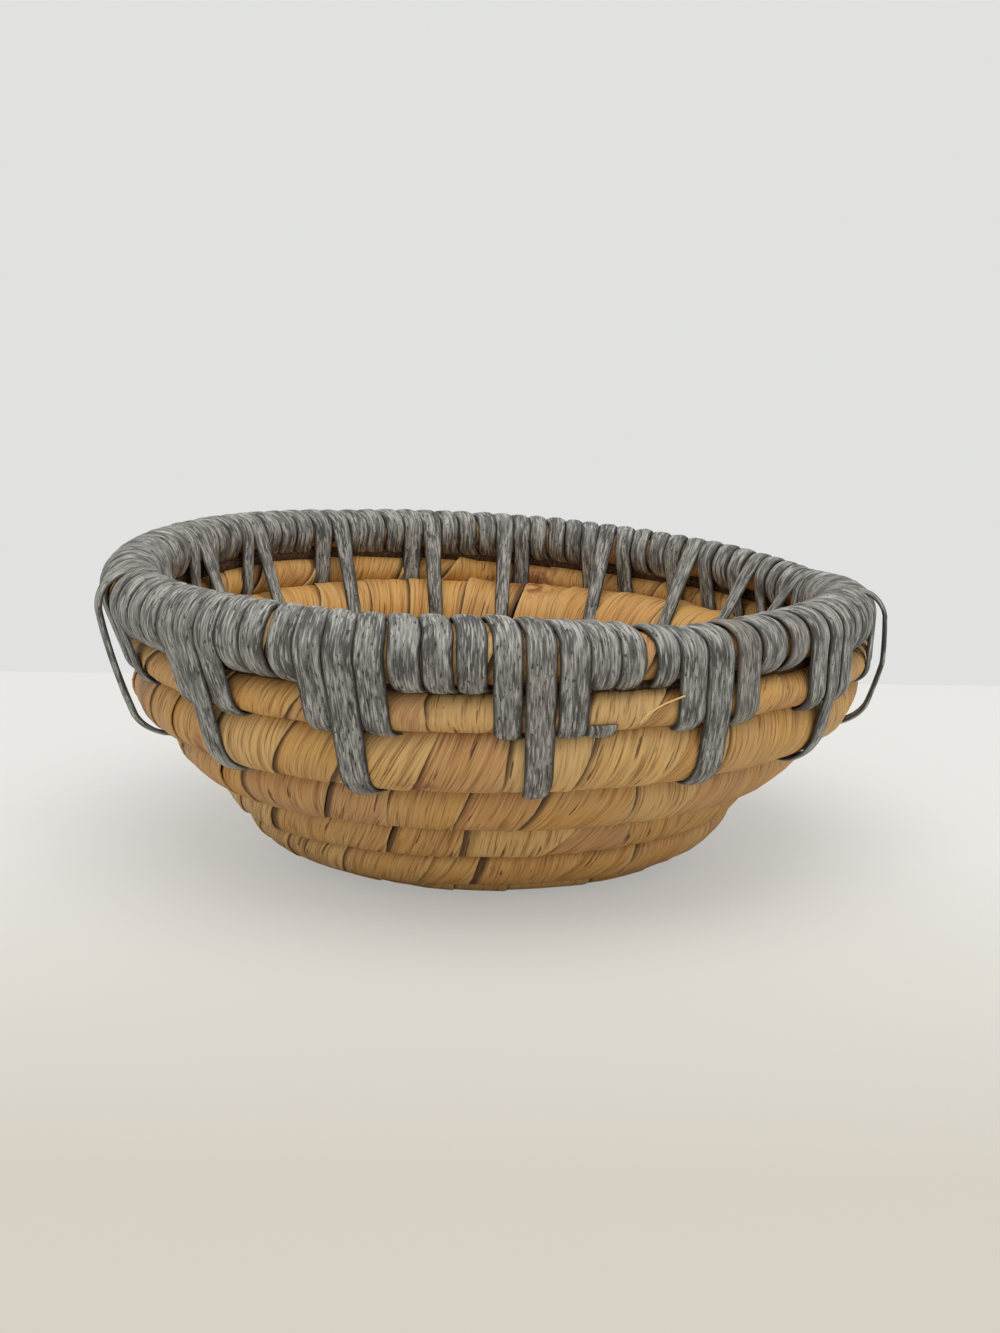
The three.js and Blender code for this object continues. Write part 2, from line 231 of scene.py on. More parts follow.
FIBRE_AND_SHADE_COLOURS = ("#22160d", "#4a331e", "#7a5c37")
FIBRE_STOPS = (0.35, 0.55, 0.75)
FIBRE_ROUGHNESS = 0.9
FIBRE_RELIEF = 0.0004
STRAND_MM = 0.714


def smooth(value):
    share = min(max(value, 0), 1)
    return share * share * (3 - 2 * share)


def noise_at(value, seed):
    """Smooth noise from about -1 to 1, the same on each run."""
    return noise.noise(Vector((value, *seed)))


def turn_of(angle):
    return ((angle - SEAM_ANGLE) / 360) % 1


def between(pairs, value):
    """The number that goes with a value in a list of pairs, on the straight line between two."""
    for (low, first), (high, second) in zip(pairs, pairs[1:]):
        if value < high:
            return first + (second - first) * max(value - low, 0) / (high - low)
    return pairs[-1][1]


def shifted(place, angle):
    """Where the seam between two rounds lies along the wall: some rounds came out thicker, the
    upper ones lie higher at the back, and the second one is thinner at the right."""
    back = smooth(math.sin(math.radians(angle))) * smooth((place - BACK_FROM) / BACK_SPAN)
    right = max(math.cos(math.radians(angle - RIGHT_ANGLE)), 0)
    right *= smooth(1 - abs(place - RIGHT_PLACE) / RIGHT_REACH)
    return place + between(ROUND_SHIFTS, place) + BACK_LIFT * back + RIGHT_LIFT * right


base_lift = (COIL_PITCH - STRIP_ROOM) / 2 * (1 - FLAT_SHARE)
levels = TOP_ROUND - COIL_START
top_place = EYE_RADIUS + COIL_PITCH * levels
rim_place = top_place + COIL_PITCH / 2 + RIM_RADIUS + RIM_GAP
end_turn = TOP_ROUND + turn_of(END_ANGLE)
outline = [(BASE_RADIUS, 0.0)]
while BASE_RADIUS + (len(outline) - 1) * OUTLINE_STEP < rim_place * OUTLINE_SPARE:
    run = (len(outline) - 0.5) * OUTLINE_STEP
    slope = math.radians(sum((steep - flat) * smooth((run - start) / (end - start))
                             for (start, flat), (end, steep) in zip(WALL_SLOPES, WALL_SLOPES[1:])))
    rho, z = outline[-1]
    outline.append((rho + OUTLINE_STEP * math.cos(slope), z + OUTLINE_STEP * math.sin(slope)))


def on_outline(place):
    """Radius, height and slope of the wall at a distance along it."""
    if place <= BASE_RADIUS:
        return place, 0.0, 0.0
    index = min(int((place - BASE_RADIUS) / OUTLINE_STEP), len(outline) - 2)
    share = (place - BASE_RADIUS) / OUTLINE_STEP - index
    (rho, z), (far_rho, far_z) = outline[index:index + 2]
    slope = math.atan2(far_z - z, far_rho - rho)
    return rho + share * (far_rho - rho), z + share * (far_z - z), slope


def stretch_at(angle):
    """How much longer the wall is at an angle, because the rim isn't level."""
    turn = math.radians(angle)
    return 1 + (-RIM_TILT * math.cos(turn) - RIM_WAVE * math.sin(2 * turn)) / (rim_place - BASE_RADIUS)


def stretched(place, angle):
    return place if place <= BASE_RADIUS else BASE_RADIUS + (place - BASE_RADIUS) * stretch_at(angle)


def on_wall(place, angle):
    """Radius and height where the pulled and swollen wall really lies."""
    rho, z, slope = on_outline(stretched(place, angle))
    return rho + between(SWELLS, z) + between(SIDE_SWAYS, z) * math.cos(math.radians(angle)), z


def coil_section(turns):
    """Angle, radius from the axis, height, slope of the wall and half-thickness of the coil, which
    lies between its two seams, starts as a curl and runs out under the hoop as a taper."""
    share = turns - math.floor(turns)
    angle = SEAM_ANGLE + 360 * turns
    if turns < COIL_START:
        curl = (COIL_START - turns) / CURL_TURNS
        half = COIL_PITCH / 2 * (1 - (1 - CURL_TIP) * curl ** CURL_POWER)
        return angle, EYE_RADIUS - CURL_PITCH * curl * CURL_TURNS, base_lift, 0.0, half
    climb = smooth((share - 1) * 360 / TAPER_ANGLE + 1)
    pitch = COIL_PITCH * (levels + climb) / (levels + share)
    place = EYE_RADIUS + pitch * (turns - COIL_START)
    full = (pitch - STRIP_ROOM) / 2
    radius = full
    if turns > TOP_ROUND and climb > 0:
        low = place - pitch + full + STRIP_ROOM
        high = top_place + full + END_SLACK * climb
        radius, place = (high - low) / 2, (high + low) / 2
    rho, z = on_wall(shifted(place - radius - STRIP_ROOM / 2, angle), angle)
    far_rho, far_z = on_wall(shifted(place + radius + STRIP_ROOM / 2, angle), angle)
    slope = math.atan2(far_z - z, far_rho - rho)
    half = math.hypot(far_rho - rho, far_z - z) / 2 + CONTACT
    return angle, (rho + far_rho) / 2, (z + far_z) / 2 + full * (1 - FLAT_SHARE), slope, half


def around(angle, rho, z):
    turn = math.radians(angle)
    return Vector((COIL_AXIS[0] + rho * math.cos(turn), COIL_AXIS[1] + rho * math.sin(turn), z))


def path_mesh(name, points, **fields):
    """A line of points, open, with number or vector attributes on them."""
    line = plain_mesh(name, points, (), [(index, index + 1) for index in range(len(points) - 1)])
    for field, values in fields.items():
        kind = "FLOAT_VECTOR" if hasattr(values[0], "__len__") else "FLOAT"
        attribute = line.data.attributes.new(field, kind, "POINT")
        if kind == "FLOAT":
            attribute.data.foreach_set("value", values)
        else:
            attribute.data.foreach_set("vector", [number for value in values for number in value])
    return line


def new_tree(name, sizes):
    tree = bpy.data.node_groups.new(name, "GeometryNodeTree")
    tree.interface.new_socket("Geometry", in_out="INPUT", socket_type="NodeSocketGeometry")
    for size, kind in sizes.items():
        tree.interface.new_socket(size, in_out="INPUT", socket_type=kind)
    tree.interface.new_socket("Geometry", in_out="OUTPUT", socket_type="NodeSocketGeometry")
    return tree


def shaped_by(piece, tree, values):
    """Runs a tree on a piece, leaves the result as its plain, smooth mesh and takes the modifier
    off again."""
    modifier = piece.modifiers.new(tree.name, "NODES")
    modifier.node_group = tree
    for item in tree.interface.items_tree:
        if item.in_out == "INPUT" and item.name in values:
            modifier[item.identifier] = values[item.name]
    bpy.context.view_layer.update()
    shown = piece.evaluated_get(bpy.context.evaluated_depsgraph_get())
    mesh = bpy.data.meshes.new_from_object(shown)
    piece.modifiers.remove(modifier)
    piece.data = mesh
    mesh.name = piece.name
    mesh.shade_smooth()


coil_points = []
coil_sections = []
coil_turns = []
turns = COIL_START - CURL_TURNS
run = 0.0
while turns < end_turn:
    angle, rho, z, slope, half = coil_section(turns)
    half *= 1 + LUMP_SHARE * noise_at(run / LUMP_LENGTH, LUMP_SEED)
    sway = SWAY * noise_at(run / LUMP_LENGTH, SWAY_SEED)
    coil_points.append(around(angle, rho - sway * math.sin(slope), z + sway * math.cos(slope)))
    coil_sections.append((half, slope - math.pi / 2, SQUARENESS * smooth(ROUND_FROM - turns)))
    coil_turns.append(turns)
    turns += PATH_STEP / (2 * math.pi * max(rho, TIGHTEST_RADIUS))
    run += PATH_STEP

# Dry plant fibre has no shine. Its strands are brown, with painted shade nearly black between
# them. Real strands are finer than these, which are drawn as coarse as they need to be to show.
fibre, tree, shader = new_material("dry plant fibre", FIBRE_ROUGHNESS)
place = add(tree, "ShaderNodeTexCoord")
strands = add(tree, NOISE, {"Vector": place.outputs["Object"], "Scale": 1000 / STRAND_MM, "Detail": 3})
# The darkest stop is painted shade between the strands; the others are the fibre's own browns.
ramp = add(tree, "ShaderNodeValToRGB", {0: strands})
ramp.color_ramp.elements.new(FIBRE_STOPS[1])
for stop, place, colour in zip(ramp.color_ramp.elements, FIBRE_STOPS, FIBRE_AND_SHADE_COLOURS):
    stop.position = place
    stop.color = linear(colour)
tree.links.new(ramp.outputs[0], shader.inputs["Base Color"])
bump = add(tree, "ShaderNodeBump", {"Height": strands, "Distance": FIBRE_RELIEF, "Strength": 0.8})
tree.links.new(bump.outputs[0], shader.inputs["Normal"])

bundle_tree = new_tree("fibre bundle", {
    "Share": "NodeSocketFloat", "Sides": "NodeSocketInt", "Material": "NodeSocketMaterial"})
tree = bundle_tree
bundle_in = add(tree, "NodeGroupInput").outputs
section = add(tree, "GeometryNodeInputNamedAttribute", {"Name": "section"}, data_type="FLOAT_VECTOR")
parts = add(tree, "ShaderNodeSeparateXYZ", {0: section})
thick = add(tree, MATH, {0: parts.outputs[0], 1: bundle_in["Share"]}, operation="MULTIPLY")
line = add(tree, "GeometryNodeMeshToCurve", {"Mesh": bundle_in["Geometry"]})
circle = add(tree, "GeometryNodeCurvePrimitiveCircle", {"Resolution": bundle_in["Sides"], "Radius": 1.0})
tube = add(tree, "GeometryNodeCurveToMesh",
           {"Curve": line, "Profile Curve": circle, "Scale": thick, "Fill Caps": True})
tube = add(tree, "GeometryNodeRealizeInstances", {0: tube})
tube = add(tree, "GeometryNodeSetMaterial", {"Geometry": tube, "Material": bundle_in["Material"]})
add(tree, "NodeGroupOutput", {0: tube})

bundle = path_mesh("coil_bundle", coil_points[HIDDEN_POINTS:], section=coil_sections[HIDDEN_POINTS:])
shaped_by(bundle, bundle_tree, {"Share": BUNDLE_SHARE, "Sides": BUNDLE_SIDES, "Material": fibre})
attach(bundle, "root")
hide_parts("coil_core")


# Leaf wraps
# Strips of dried leaf about 20 mm wide go round and round the bundle, each turn tucked under the
# edge of the one before. One length after another covers the coil. The leaf is smooth and tan.

LEAF_COUNT = 9
LEAF_WIDTH = 0.0205
LEAF_SPREAD = 0.0065
LEAF_THICKNESS = 0.00065
LEAF_LAYERS = 1.2
LEAF_OVERLAP = 0.0020
LEAF_GAPE = 0.0016
LEAF_CURL = 0.0011
CURL_FROM = 0.72
LEAF_SEGMENTS = 28
LEAF_LOWER = 8
LEAF_UPPER = 6
LEAF_SEED = 3.0
# How fast a wandering number changes from winding to winding, and its own place in the noise.
WIDTH_WANDER = (0.83, 0)
LAP_WANDER = (0.7, 40)
RAGGED_WANDER = (9, 80)
LOOSE_WANDER = (1.3, 120)
WANDER_GAIN = 3.2
RAGGED_DEPTH = 0.00025
SWELL_SCALE = (3.5, 2.3, 0)
SWELL_HEIGHT = 0.0014
PRESSED_SHARE = 0.5
FLOOR_ROOM = 0.0004
FIRST_HEADING = 0.25
WINDING_LENGTH = 0.048
CHANCE_SEED = 7
STORE = "GeometryNodeStoreNamedAttribute"
READ = "GeometryNodeInputNamedAttribute"
VECTOR = "ShaderNodeVectorMath"


def flat_ring(tree, top, under):
    """The section of a flat strip, as a ring whose points know how far across the strip they lie
    and whether they are on its top. The strip's own tree puts them in their places."""
    index = add(tree, "GeometryNodeInputIndex")
    on_top = add(tree, MATH, {0: index, 1: top + 0.5}, operation="LESS_THAN")
    forth = add(tree, MATH, {0: index, 1: top}, operation="DIVIDE")
    back = add(tree, MATH, {0: top + under + 1, 1: index}, operation="SUBTRACT")
    back = add(tree, MATH, {0: back, 1: under}, operation="DIVIDE")
    share = add(tree, "GeometryNodeSwitch", {"Switch": on_top, "False": back, "True": forth},
                input_type="FLOAT")
    share = add(tree, MATH, {0: share, 1: math.pi}, operation="MULTIPLY")
    share = add(tree, MATH, {0: share}, operation="COSINE")
    across = add(tree, MATH, {0: share, 1: -0.5, 2: 0.5}, operation="MULTIPLY_ADD")
    ring = add(tree, "GeometryNodeMeshCircle", {"Vertices": top + under + 2, "Radius": 0.0005})
    for name, value in (("across", across), ("on_top", on_top)):
        ring = add(tree, STORE, {"Geometry": ring, "Name": name, "Value": value}, data_type="FLOAT")
    return add(tree, "GeometryNodeMeshToCurve", {"Mesh": ring})


leaf_tree = new_tree("leaf strip wound round a bundle", {
    "First winding": "NodeSocketFloat", "Windings": "NodeSocketInt", "Segments": "NodeSocketInt",
    "Width": "NodeSocketFloat", "Width spread": "NodeSocketFloat", "Thickness": "NodeSocketFloat",
    "Overlap": "NodeSocketFloat", "Gape": "NodeSocketFloat", "Curl": "NodeSocketFloat",
    "Floor": "NodeSocketFloat", "Seed": "NodeSocketFloat", "Material": "NodeSocketMaterial"})
tree = leaf_tree
leaf_in = add(tree, "NodeGroupInput").outputs
path = add(tree, "GeometryNodeMeshToCurve", {"Mesh": leaf_in["Geometry"]})
count = add(tree, MATH, {0: leaf_in["Windings"], 1: leaf_in["Segments"], 2: 1}, operation="MULTIPLY_ADD")
rail = add(tree, "GeometryNodeMeshLine", {"Count": count, "Offset": (0.001, 0, 0)})
index = add(tree, "GeometryNodeInputIndex")
winding = add(tree, MATH, {0: index, 1: leaf_in["Segments"]}, operation="DIVIDE")
winding = add(tree, MATH, {0: winding, 1: leaf_in["First winding"]}, operation="ADD")
rail = add(tree, STORE, {"Geometry": rail, "Name": "winding", "Value": winding}, data_type="FLOAT")
rail = add(tree, "GeometryNodeMeshToCurve", {"Mesh": rail})
ribbon = add(tree, "GeometryNodeCurveToMesh",
             {"Curve": rail, "Profile Curve": flat_ring(tree, LEAF_LOWER, LEAF_UPPER), "Fill Caps": True})
winding, across, on_top = [add(tree, READ, {"Name": name}, data_type="FLOAT")
                           for name in ("winding", "across", "on_top")]


def wander(value, scale, shift):
    """A smooth number from about -1 to 1 that changes along the winding."""
    seed = add(leaf_tree, MATH, {0: leaf_in["Seed"], 1: shift}, operation="ADD")
    spot = add(leaf_tree, MATH, {0: value, 1: scale, 2: seed}, operation="MULTIPLY_ADD")
    wave = add(leaf_tree, NOISE, {"W": spot, "Scale": 1.0, "Detail": 1.0}, noise_dimensions="1D")
    wave = add(leaf_tree, MATH, {0: wave, 1: 0.5}, operation="SUBTRACT")
    return add(leaf_tree, MATH, {0: wave, 1: WANDER_GAIN}, operation="MULTIPLY")


def leading_edge(value):
    """How far along the bundle the first edge of a winding lies."""
    even = add(leaf_tree, MATH, {0: value, 1: leaf_in["Width"]}, operation="MULTIPLY")
    return add(leaf_tree, MATH, {0: wander(value, *WIDTH_WANDER), 1: leaf_in["Width spread"], 2: even},
               operation="MULTIPLY_ADD")


# Where each point lies along the bundle: every winding reaches from its own edge to a little
# past the next one's, or falls short of it and gapes.
near_edge = leading_edge(winding)
half_lap = add(tree, MATH, {0: leaf_in["Overlap"], 1: 0.5}, operation="MULTIPLY")
lap = add(tree, MATH, {0: wander(winding, *LAP_WANDER), 1: leaf_in["Overlap"], 2: half_lap},
          operation="MULTIPLY_ADD")
gape = add(tree, MATH, {0: leaf_in["Gape"], 1: -1}, operation="MULTIPLY")
lap = add(tree, MATH, {0: lap, 1: gape}, operation="MAXIMUM")
far_edge = leading_edge(add(tree, MATH, {0: winding, 1: 1}, operation="ADD"))
far_edge = add(tree, MATH, {0: far_edge, 1: lap}, operation="ADD")
ragged_edge = add(tree, MATH, {0: wander(winding, *RAGGED_WANDER), 1: RAGGED_DEPTH, 2: near_edge},
                  operation="MULTIPLY_ADD")
breadth = add(tree, MATH, {0: far_edge, 1: near_edge}, operation="SUBTRACT")
along = add(tree, MATH, {0: across, 1: breadth, 2: ragged_edge}, operation="MULTIPLY_ADD")
section = add(tree, READ, {"Name": "section"}, data_type="FLOAT_VECTOR")
sample = add(tree, "GeometryNodeSampleCurve", {"Curves": path, "Value": section, "Length": along},
             mode="LENGTH", data_type="FLOAT_VECTOR", use_all_curves=True)
sampled = add(tree, "ShaderNodeSeparateXYZ", {0: sample.outputs["Value"]})
outward = add(tree, VECTOR, {0: sample.outputs["Tangent"], 1: (0, 0, 1)}, operation="CROSS_PRODUCT")
outward = add(tree, VECTOR, {0: outward}, operation="NORMALIZE")

# How far each point lies from the middle of the bundle: the bundle is a little square lower down,
# and the leaf on it has its thickness, swells, and edges that curl up where nothing presses them.
turned = add(tree, MATH, {0: winding}, operation="FRACT")
turned = add(tree, MATH, {0: turned, 1: FIRST_HEADING}, operation="SUBTRACT")
turned = add(tree, MATH, {0: turned, 1: 2 * math.pi}, operation="MULTIPLY")
square = add(tree, MATH, {0: turned, 1: 4}, operation="MULTIPLY")
square = add(tree, MATH, {0: square}, operation="COSINE")
square = add(tree, MATH, {0: square, 1: sampled.outputs[2]}, operation="MULTIPLY")
square = add(tree, MATH, {0: 1, 1: square}, operation="SUBTRACT")
widest = add(tree, MATH, {0: 1, 1: sampled.outputs[2]}, operation="SUBTRACT")
square = add(tree, MATH, {0: square, 1: widest}, operation="DIVIDE")
body = add(tree, MATH, {0: sampled.outputs[0], 1: square}, operation="MULTIPLY")
lift = add(tree, MATH, {0: across, 1: LEAF_LAYERS}, operation="SUBTRACT")
lift = add(tree, MATH, {0: lift, 1: on_top}, operation="ADD")
lift = add(tree, MATH, {0: lift, 1: leaf_in["Thickness"]}, operation="MULTIPLY")
swell = add(tree, "ShaderNodeCombineXYZ", {0: across, 1: winding})
swell = add(tree, VECTOR, {0: swell, 1: SWELL_SCALE}, operation="MULTIPLY")
swell = add(tree, NOISE, {"Vector": swell, "Scale": 1.0, "Detail": 2.0})
swell = add(tree, MATH, {0: swell, 1: 0.5}, operation="SUBTRACT")
lift = add(tree, MATH, {0: swell, 1: SWELL_HEIGHT, 2: lift}, operation="MULTIPLY_ADD")
heading = add(tree, MATH, {0: turned, 1: sampled.outputs[1]}, operation="ADD")
upward = add(tree, MATH, {0: heading}, operation="SINE")
sideways = add(tree, MATH, {0: heading}, operation="COSINE")
pressed = add(tree, MATH, {0: upward, 1: -1}, operation="MULTIPLY")
pressed = add(tree, MATH, {0: pressed, 1: 0}, operation="MAXIMUM")
firm = add(tree, MATH, {0: pressed, 1: -PRESSED_SHARE, 2: 1}, operation="MULTIPLY_ADD")
lift = add(tree, MATH, {0: lift, 1: firm}, operation="MULTIPLY")
free = add(tree, MATH, {0: 1, 1: pressed}, operation="SUBTRACT")
edge_share = add(tree, RANGE, {"Value": across, "From Min": CURL_FROM, "From Max": 1.0},
                 interpolation_type="SMOOTHSTEP")
free = add(tree, MATH, {0: edge_share, 1: free}, operation="MULTIPLY")
curl = add(tree, MATH, {0: wander(winding, *LOOSE_WANDER), 1: 0}, operation="MAXIMUM")
curl = add(tree, MATH, {0: curl, 1: leaf_in["Curl"]}, operation="MULTIPLY")
curl = add(tree, MATH, {0: curl, 1: free}, operation="MULTIPLY")
reach = add(tree, MATH, {0: body, 1: lift}, operation="ADD")
reach = add(tree, MATH, {0: reach, 1: curl}, operation="ADD")

# The point itself, which stays above the table: where the leaf rests on it, the inner face lies
# a hair above the outer one, so that the two don't cross.
sideways = add(tree, MATH, {0: reach, 1: sideways}, operation="MULTIPLY")
upward = add(tree, MATH, {0: reach, 1: upward}, operation="MULTIPLY")
side_move = add(tree, VECTOR, {0: outward, "Scale": sideways}, operation="SCALE")
rise = add(tree, "ShaderNodeCombineXYZ", {2: upward})
spot = add(tree, VECTOR, {0: sample.outputs["Position"], 1: side_move}, operation="ADD")
spot = add(tree, VECTOR, {0: spot, 1: rise}, operation="ADD")
parts = add(tree, "ShaderNodeSeparateXYZ", {0: spot})
lowest = add(tree, MATH, {0: 1, 1: on_top}, operation="SUBTRACT")
lowest = add(tree, MATH, {0: lowest, 1: FLOOR_ROOM, 2: leaf_in["Floor"]}, operation="MULTIPLY_ADD")
lowest = add(tree, MATH, {0: parts.outputs[2], 1: lowest}, operation="MAXIMUM")
spot = add(tree, "ShaderNodeCombineXYZ", {0: parts.outputs[0], 1: parts.outputs[1], 2: lowest})
ribbon = add(tree, "GeometryNodeSetPosition", {"Geometry": ribbon, "Position": spot})

# What the leaf's material follows: the place on the leaf in metres with a number of its own for
# each winding, and whether the point faces outwards.
length_along = add(tree, MATH, {0: winding, 1: WINDING_LENGTH}, operation="MULTIPLY")
length_across = add(tree, MATH, {0: along, 1: near_edge}, operation="SUBTRACT")
number = add(tree, MATH, {0: winding}, operation="FLOOR")
chance = add(tree, "FunctionNodeRandomValue", {2: 0.0, 3: 1.0, "ID": number, "Seed": CHANCE_SEED},
             data_type="FLOAT")
leaf_place = add(tree, "ShaderNodeCombineXYZ", {0: length_along, 1: length_across, 2: chance.outputs[1]})
ribbon = add(tree, STORE, {"Geometry": ribbon, "Name": "leaf", "Value": leaf_place},
             data_type="FLOAT_VECTOR")
outside = add(tree, MATH, {0: turned}, operation="COSINE")
ribbon = add(tree, STORE, {"Geometry": ribbon, "Name": "outside", "Value": outside}, data_type="FLOAT")
ribbon = add(tree, "GeometryNodeRealizeInstances", {0: ribbon})
ribbon = add(tree, "GeometryNodeSetMaterial", {"Geometry": ribbon, "Material": leaf_in["Material"]})
add(tree, "NodeGroupOutput", {0: ribbon})

LEAF_TAN = "#bd935a"
LEAF_GOLD = "#c2914a"
LEAF_ROSE = "#b48861"
LEAF_PALE = "#d7b981"
LEAF_STREAK = "#75491f"
LEAF_DARK_MARK = "#4a2a16"
LEAF_SHADE = "#3a2412"
LEAF_RED = "#6e2c17"
LEAF_ROUGHNESS = 0.62
LEAF_SHINE = 0.35
LEAF_RELIEF = 0.0005
PATCH_MM = 26.3
BLOTCH_MM = 3.85
# Length and width of the grain in millimetres, its detail, and its own place in the noise.
FINE_STREAKS = (9, 0.5, 4, 0)
COARSE_STREAKS = (18, 2.2, 3, 4)
DARK_MARKS = (10, 1.6, 3, 8)
LEAVES_APART = 9.0
# Angle, radius and height of the middle of each red stain, and how far it spreads.
RED_STAINS = ((81, 0.102, 0.072, 0.012), (-100, 0.112, 0.041, 0.009), (-139, 0.108, 0.050, 0.008))


def grain(tree, place, apart, along_mm, across_mm, detail, shift):
    """Noise drawn out along a leaf or a strip."""
    stretch = add(tree, "ShaderNodeMapping", {"Vector": place, "Location": (shift, shift, 0),
                                              "Scale": (1000 / along_mm, 1000 / across_mm, apart)})
    return add(tree, NOISE, {"Vector": stretch, "Scale": 1.0, "Detail": detail})


def layered(tree, colour, layers):
    """Colours laid one over the other. Each follows a value, from where it starts to where it is
    fullest, and says how full that is."""
    for value, start, end, most, shade in layers:
        share = add(tree, RANGE, {"Value": value, "From Min": start, "From Max": end, "To Max": most})
        colour = add(tree, MIX, {0: share, 6: colour, 7: linear(shade)}, data_type="RGBA").outputs[2]
    return colour


# Dried leaf has a low, waxy sheen, and is tan, gold or rose from turn to turn. Its brown streaks
# run along it, the edge that lies on top is pale, and painted shade darkens it where it comes out
# from under its neighbour. Real fibres are finer than the fine streaks, which are drawn as coarse
# as they need to be to show.
leaf, tree, shader = new_material("dried leaf", LEAF_ROUGHNESS, LEAF_SHINE)
leaf_place = add(tree, "ShaderNodeAttribute", attribute_name="leaf").outputs["Vector"]
chance = add(tree, "ShaderNodeSeparateXYZ", {0: leaf_place}).outputs[2]
outside = add(tree, "ShaderNodeAttribute", attribute_name="outside").outputs["Fac"]
edge = add(tree, "ShaderNodeAttribute", attribute_name="across").outputs["Fac"]
ground = add(tree, "ShaderNodeTexCoord").outputs["Object"]
patches = add(tree, NOISE, {"Vector": ground, "Scale": 1000 / PATCH_MM, "Detail": 2})
fine = grain(tree, leaf_place, LEAVES_APART, *FINE_STREAKS)
coarse = grain(tree, leaf_place, LEAVES_APART, *COARSE_STREAKS)
dark_marks = grain(tree, leaf_place, LEAVES_APART, *DARK_MARKS)
colour = layered(tree, linear(LEAF_TAN), (
    (patches, 0.36, 0.6, 1, LEAF_GOLD),
    (chance, 0.55, 0.9, 0.55, LEAF_ROSE),
    (chance, 0.35, 0.05, 0.45, LEAF_PALE),
    (outside, 0.1, -0.6, 0.6, LEAF_GOLD),
    (coarse, 0.52, 0.72, 0.55, LEAF_STREAK),
    (fine, 0.53, 0.68, 0.8, LEAF_STREAK),
    (fine, 0.45, 0.3, 0.5, LEAF_PALE),
    # Thin dark marks drawn along the leaf.
    (dark_marks, 0.66, 0.70, 0.85, LEAF_DARK_MARK),
    (edge, 0.93, 1.0, 0.35, LEAF_PALE),
    # Painted shade where the leaf comes out from under its neighbour.
    (edge, 0.13, 0.06, 0.85, LEAF_SHADE)))
blotch = add(tree, NOISE, {"Vector": ground, "Scale": 1000 / BLOTCH_MM, "Detail": 3})
blotch = add(tree, RANGE, {"Value": blotch, "From Min": 0.42, "From Max": 0.58, "To Max": 0.75})
for angle, rho, z, radius in RED_STAINS:
    away = add(tree, VECTOR, {0: ground, 1: around(angle, rho, z)}, operation="DISTANCE").outputs["Value"]
    share = add(tree, RANGE, {"Value": away, "From Min": radius, "From Max": radius / 2})
    share = add(tree, MATH, {0: share, 1: blotch}, operation="MULTIPLY")
    colour = add(tree, MIX, {0: share, 6: colour, 7: linear(LEAF_RED)}, data_type="RGBA").outputs[2]
tree.links.new(colour, shader.inputs["Base Color"])
relief = add(tree, MATH, {0: fine, 1: coarse}, operation="ADD")
bump = add(tree, "ShaderNodeBump", {"Height": relief, "Distance": LEAF_RELIEF, "Strength": 0.55})
tree.links.new(bump.outputs[0], shader.inputs["Normal"])

leaf_sizes = {
    "Segments": LEAF_SEGMENTS, "Width": LEAF_WIDTH, "Width spread": LEAF_SPREAD,
    "Thickness": LEAF_THICKNESS, "Overlap": LEAF_OVERLAP, "Gape": LEAF_GAPE, "Curl": LEAF_CURL,
    "Floor": 0.0, "Seed": LEAF_SEED, "Material": leaf}
leaf_turns = (end_turn - COIL_START) / LEAF_COUNT
first_winding = 0
for number in range(1, LEAF_COUNT + 1):
    last_turn = COIL_START + number * leaf_turns
    last_run = PATH_STEP * sum(1 for turns in coil_turns if turns < last_turn)
    last_winding = round(last_run / LEAF_WIDTH)
    if number == LEAF_COUNT:
        last_winding -= 1
    wrap = path_mesh(f"leaf_wrap_strip_{number}", coil_points, section=coil_sections)
    shaped_by(wrap, leaf_tree, {**leaf_sizes, "First winding": float(first_winding),
                                "Windings": last_winding - first_winding})
    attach(wrap, "root")
    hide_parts(f"leaf_wrap_{number}")
    first_winding = last_winding


# Rim hoop
# A thicker bundle bent into a ring and wrapped in leaf, which lies under the grey strips. It
# shows only as tan slivers where two turns of strip part.

# Angle, and how much higher the hoop lies there.
HOOP_RAISES = ((-180, -0.0012), (-150, -0.0012), (-125, -0.0005), (-105, -0.0016), (-90, -0.0013),
               (-74, -0.0022), (-63, -0.0040), (-50, -0.0030), (-20, -0.0020), (18, -0.0030),
               (42, 0.0004), (80, 0.0010), (120, -0.0008), (140, 0.0), (180, -0.0012))
# Angle, and the radius of the hoop's bundle there.
HOOP_RADII = ((-180, 0.0076), (-150, 0.0085), (-90, 0.0088), (-63, 0.0065), (-50, 0.0065),
              (-20, 0.0078), (0, 0.0075), (18, 0.0065), (42, 0.0060), (60, 0.0066), (120, 0.0065),
              (140, 0.0063), (180, 0.0076))
HOOP_REACH = 0.114
HOOP_LEAF_ROOM = 0.0004
HOOP_SEGMENTS = 16
HOOP_OVERLAP_ANGLE = 12
HOOP_FIRST_WINDING = 0.4
HOOP_SPREAD = LEAF_SPREAD / 3
HOOP_SEED = 31.0


def hoop_section(angle):
    """Radius from the axis, height, slope of the wall and half-thickness of the hoop."""
    rho, z, slope = on_outline(stretched(rim_place, angle))
    near = (angle + 180) % 360 - 180
    return rho, z + base_lift + between(HOOP_RAISES, near), slope, between(HOOP_RADII, near)


